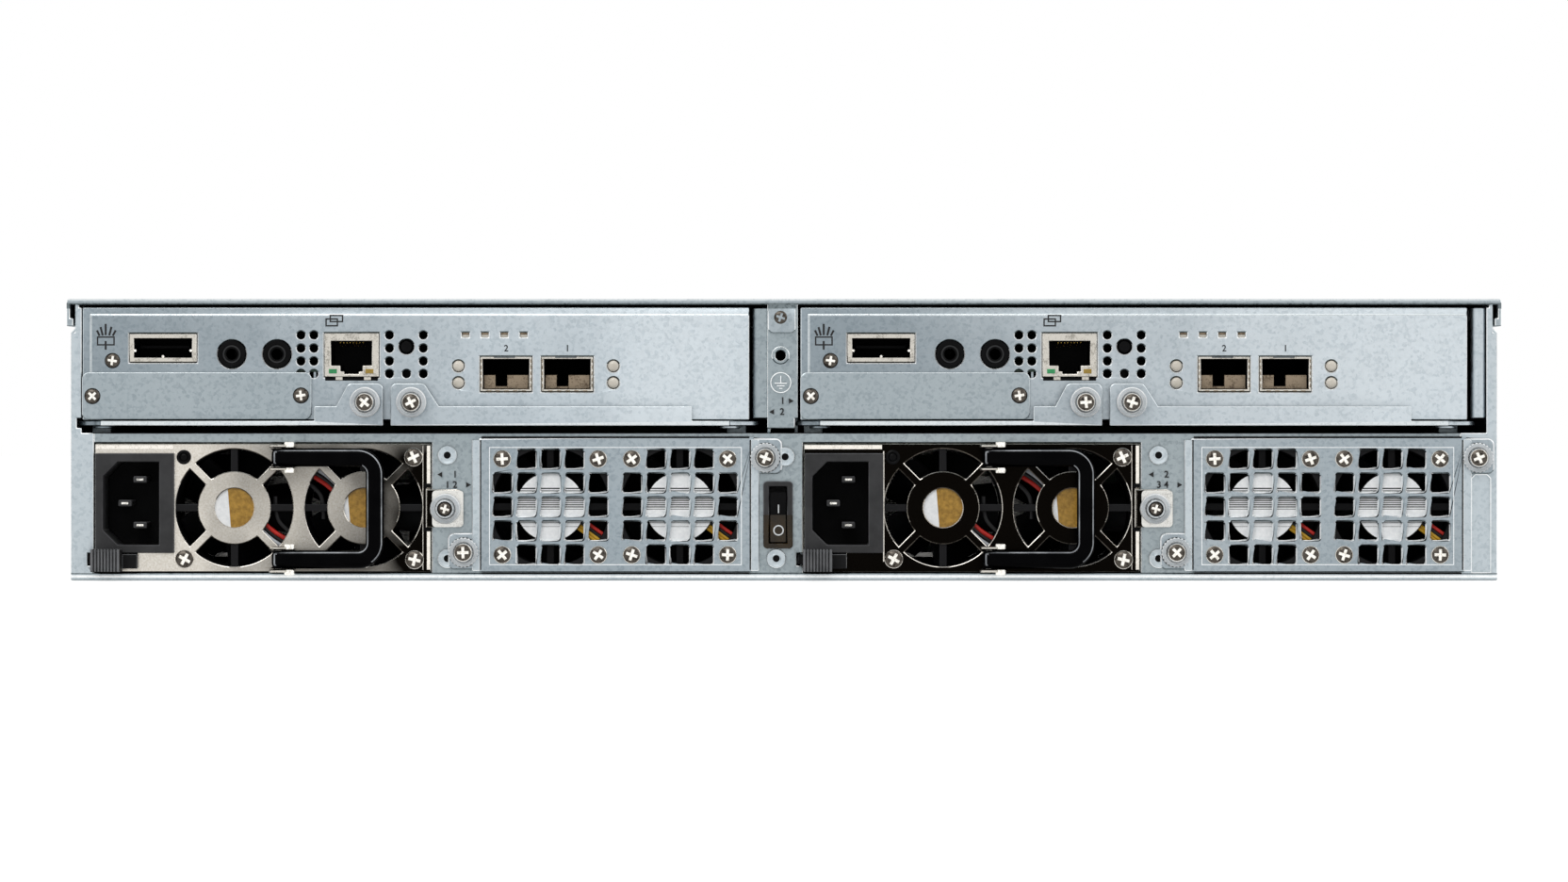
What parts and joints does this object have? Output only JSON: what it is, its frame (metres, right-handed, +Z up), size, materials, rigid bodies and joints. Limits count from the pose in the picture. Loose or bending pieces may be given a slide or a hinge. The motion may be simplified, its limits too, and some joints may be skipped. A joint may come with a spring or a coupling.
{
  "type": "disk shelf enclosure",
  "caption": "Rack-mounted disk shelf with two slide-in controllers, power supplies and fan trays at the rear and disk carriers at the front.",
  "frame": {"origin": "bottom centre of the bounding box, on the underside of the chassis floor", "axes": "-Y towards the service side with the controllers and power supplies, +Y towards the disk side, +X to the right as the service side is seen, +Z up"},
  "size_m": [0.4826, 0.4824, 0.0872],
  "materials": {
    "galvanised_steel": "satin",
    "nickel_plate": "gloss",
    "bright_nickel": "gloss",
    "circuit_board": "satin",
    "black_plastic": "matte",
    "gloss_black": "gloss",
    "drive_alloy": "satin"
  },
  "bodies": {
    "chassis": {"chassis_tray": "galvanised_steel", "top_cover": "galvanised_steel", "rear_frame": "galvanised_steel", "midplane": "circuit_board", "drive_cage": "galvanised_steel", "rack_ears": "galvanised_steel", "power_switch": "black_plastic"},
    "rocker": {"power_rocker": "gloss_black"},
    "controller_1": {"ctrl1_tray": "galvanised_steel", "ctrl1_panel": "galvanised_steel", "ctrl1_board": "circuit_board", "ctrl1_blank_plate": "galvanised_steel", "ctrl1_port_shells": "bright_nickel"},
    "button_1": {"ctrl1_button": "black_plastic"},
    "lever_left_1": {"ctrl1_lever_left": "galvanised_steel"},
    "lever_right_1": {"ctrl1_lever_right": "galvanised_steel"},
    "controller_2": {"ctrl2_tray": "galvanised_steel", "ctrl2_panel": "galvanised_steel", "ctrl2_board": "circuit_board", "ctrl2_blank_plate": "galvanised_steel", "ctrl2_port_shells": "bright_nickel"},
    "button_2": {"ctrl2_button": "black_plastic"},
    "lever_left_2": {"ctrl2_lever_left": "galvanised_steel"},
    "lever_right_2": {"ctrl2_lever_right": "galvanised_steel"},
    "supply_1": {"psu1_case": "nickel_plate", "psu1_front": "nickel_plate", "psu1_inlet": "black_plastic", "psu1_fan_frames": "black_plastic"},
    "handle_1": {"psu1_handle": "gloss_black"},
    "latch_1": {"psu1_latch": "black_plastic"},
    "rotor_p1a": {"psu1_rotor_a": "black_plastic"},
    "rotor_p1b": {"psu1_rotor_b": "black_plastic"},
    "supply_2": {"psu2_case": "nickel_plate", "psu2_front": "nickel_plate", "psu2_inlet": "black_plastic", "psu2_fan_frames": "black_plastic"},
    "handle_2": {"psu2_handle": "gloss_black"},
    "latch_2": {"psu2_latch": "black_plastic"},
    "rotor_p2a": {"psu2_rotor_a": "black_plastic"},
    "rotor_p2b": {"psu2_rotor_b": "black_plastic"},
    "fan_tray_1": {"fan1_tray": "galvanised_steel", "fan1_fan_frames": "black_plastic"},
    "rotor_f1a": {"fan1_rotor_a": "black_plastic"},
    "rotor_f1b": {"fan1_rotor_b": "black_plastic"},
    "fan_tray_2": {"fan2_tray": "galvanised_steel", "fan2_fan_frames": "black_plastic"},
    "rotor_f2a": {"fan2_rotor_a": "black_plastic"},
    "rotor_f2b": {"fan2_rotor_b": "black_plastic"},
    "disk_01": {"drive_01": "drive_alloy"},
    "disk_02": {"drive_02": "drive_alloy"},
    "disk_03": {"drive_03": "drive_alloy"},
    "disk_04": {"drive_04": "drive_alloy"},
    "disk_05": {"drive_05": "drive_alloy"},
    "disk_06": {"drive_06": "drive_alloy"},
    "disk_07": {"drive_07": "drive_alloy"},
    "disk_08": {"drive_08": "drive_alloy"},
    "disk_09": {"drive_09": "drive_alloy"},
    "disk_10": {"drive_10": "drive_alloy"},
    "disk_11": {"drive_11": "drive_alloy"},
    "disk_12": {"drive_12": "drive_alloy"}
  },
  "joints": [
    {"name": "rocker_tilt", "type": "hinge", "parent": "chassis", "child": "rocker", "pos_m": [0, -0.22735, 0.0203], "axis": [-1, 0, 0], "range_deg": [0, 14]},
    {"name": "controller_1_slide", "type": "slide", "parent": "chassis", "child": "controller_1", "axis": [0, -1, 0], "range_m": [0, 0.3]},
    {"name": "button_1_press", "type": "slide", "parent": "controller_1", "child": "button_1", "axis": [0, 1, 0], "range_m": [0, 0.001], "stiffness_N_per_m": 300, "springref_m": -0.0003},
    {"name": "lever_left_1_swing", "type": "hinge", "parent": "controller_1", "child": "lever_left_1", "pos_m": [-0.2114, -0.22475, 0.0488], "axis": [0, 0, -1], "range_deg": [0, 50]},
    {"name": "lever_right_1_swing", "type": "hinge", "parent": "controller_1", "child": "lever_right_1", "pos_m": [-0.0168, -0.22475, 0.0488], "axis": [0, 0, 1], "range_deg": [0, 50]},
    {"name": "controller_2_slide", "type": "slide", "parent": "chassis", "child": "controller_2", "axis": [0, -1, 0], "range_m": [0, 0.3]},
    {"name": "button_2_press", "type": "slide", "parent": "controller_2", "child": "button_2", "axis": [0, 1, 0], "range_m": [0, 0.001], "stiffness_N_per_m": 300, "springref_m": -0.0003},
    {"name": "lever_left_2_swing", "type": "hinge", "parent": "controller_2", "child": "lever_left_2", "pos_m": [0.0111, -0.22475, 0.0488], "axis": [0, 0, -1], "range_deg": [0, 50]},
    {"name": "lever_right_2_swing", "type": "hinge", "parent": "controller_2", "child": "lever_right_2", "pos_m": [0.2057, -0.22475, 0.0488], "axis": [0, 0, 1], "range_deg": [0, 50]},
    {"name": "supply_1_slide", "type": "slide", "parent": "chassis", "child": "supply_1", "axis": [0, -1, 0], "range_m": [0, 0.3]},
    {"name": "handle_1_swing", "type": "hinge", "parent": "supply_1", "child": "handle_1", "pos_m": [-0.1563, -0.23635, 0.0225], "axis": [0, 0, -1], "range_deg": [0, 90]},
    {"name": "latch_1_slide", "type": "slide", "parent": "supply_1", "child": "latch_1", "axis": [1, 0, 0], "range_m": [0, 0.004], "stiffness_N_per_m": 400, "springref_m": -0.002},
    {"name": "rotor_p1a_spin", "type": "hinge", "parent": "supply_1", "child": "rotor_p1a", "pos_m": [-0.1704, -0.22075, 0.0225], "axis": [0, -1, 0], "continuous": true},
    {"name": "rotor_p1b_spin", "type": "hinge", "parent": "supply_1", "child": "rotor_p1b", "pos_m": [-0.1303, -0.22075, 0.0225], "axis": [0, -1, 0], "continuous": true},
    {"name": "supply_2_slide", "type": "slide", "parent": "chassis", "child": "supply_2", "axis": [0, -1, 0], "range_m": [0, 0.3]},
    {"name": "handle_2_swing", "type": "hinge", "parent": "supply_2", "child": "handle_2", "pos_m": [0.0634, -0.23635, 0.0225], "axis": [0, 0, -1], "range_deg": [0, 90]},
    {"name": "latch_2_slide", "type": "slide", "parent": "supply_2", "child": "latch_2", "axis": [1, 0, 0], "range_m": [0, 0.004], "stiffness_N_per_m": 400, "springref_m": -0.002},
    {"name": "rotor_p2a_spin", "type": "hinge", "parent": "supply_2", "child": "rotor_p2a", "pos_m": [0.0493, -0.22075, 0.0225], "axis": [0, -1, 0], "continuous": true},
    {"name": "rotor_p2b_spin", "type": "hinge", "parent": "supply_2", "child": "rotor_p2b", "pos_m": [0.0894, -0.22075, 0.0225], "axis": [0, -1, 0], "continuous": true},
    {"name": "fan_tray_1_slide", "type": "slide", "parent": "chassis", "child": "fan_tray_1", "axis": [0, -1, 0], "range_m": [0, 0.06]},
    {"name": "rotor_f1a_spin", "type": "hinge", "parent": "fan_tray_1", "child": "rotor_f1a", "pos_m": [-0.0724, -0.22075, 0.0228], "axis": [0, -1, 0], "continuous": true},
    {"name": "rotor_f1b_spin", "type": "hinge", "parent": "fan_tray_1", "child": "rotor_f1b", "pos_m": [-0.0323, -0.22075, 0.0228], "axis": [0, -1, 0], "continuous": true},
    {"name": "fan_tray_2_slide", "type": "slide", "parent": "chassis", "child": "fan_tray_2", "axis": [0, -1, 0], "range_m": [0, 0.06]},
    {"name": "rotor_f2a_spin", "type": "hinge", "parent": "fan_tray_2", "child": "rotor_f2a", "pos_m": [0.1482, -0.22075, 0.0228], "axis": [0, -1, 0], "continuous": true},
    {"name": "rotor_f2b_spin", "type": "hinge", "parent": "fan_tray_2", "child": "rotor_f2b", "pos_m": [0.1883, -0.22075, 0.0228], "axis": [0, -1, 0], "continuous": true},
    {"name": "disk_01_slide", "type": "slide", "parent": "chassis", "child": "disk_01", "axis": [0, 1, 0], "range_m": [0, 0.18]},
    {"name": "disk_02_slide", "type": "slide", "parent": "chassis", "child": "disk_02", "axis": [0, 1, 0], "range_m": [0, 0.18]},
    {"name": "disk_03_slide", "type": "slide", "parent": "chassis", "child": "disk_03", "axis": [0, 1, 0], "range_m": [0, 0.18]},
    {"name": "disk_04_slide", "type": "slide", "parent": "chassis", "child": "disk_04", "axis": [0, 1, 0], "range_m": [0, 0.18]},
    {"name": "disk_05_slide", "type": "slide", "parent": "chassis", "child": "disk_05", "axis": [0, 1, 0], "range_m": [0, 0.18]},
    {"name": "disk_06_slide", "type": "slide", "parent": "chassis", "child": "disk_06", "axis": [0, 1, 0], "range_m": [0, 0.18]},
    {"name": "disk_07_slide", "type": "slide", "parent": "chassis", "child": "disk_07", "axis": [0, 1, 0], "range_m": [0, 0.18]},
    {"name": "disk_08_slide", "type": "slide", "parent": "chassis", "child": "disk_08", "axis": [0, 1, 0], "range_m": [0, 0.18]},
    {"name": "disk_09_slide", "type": "slide", "parent": "chassis", "child": "disk_09", "axis": [0, 1, 0], "range_m": [0, 0.18]},
    {"name": "disk_10_slide", "type": "slide", "parent": "chassis", "child": "disk_10", "axis": [0, 1, 0], "range_m": [0, 0.18]},
    {"name": "disk_11_slide", "type": "slide", "parent": "chassis", "child": "disk_11", "axis": [0, 1, 0], "range_m": [0, 0.18]},
    {"name": "disk_12_slide", "type": "slide", "parent": "chassis", "child": "disk_12", "axis": [0, 1, 0], "range_m": [0, 0.18]}
  ]
}
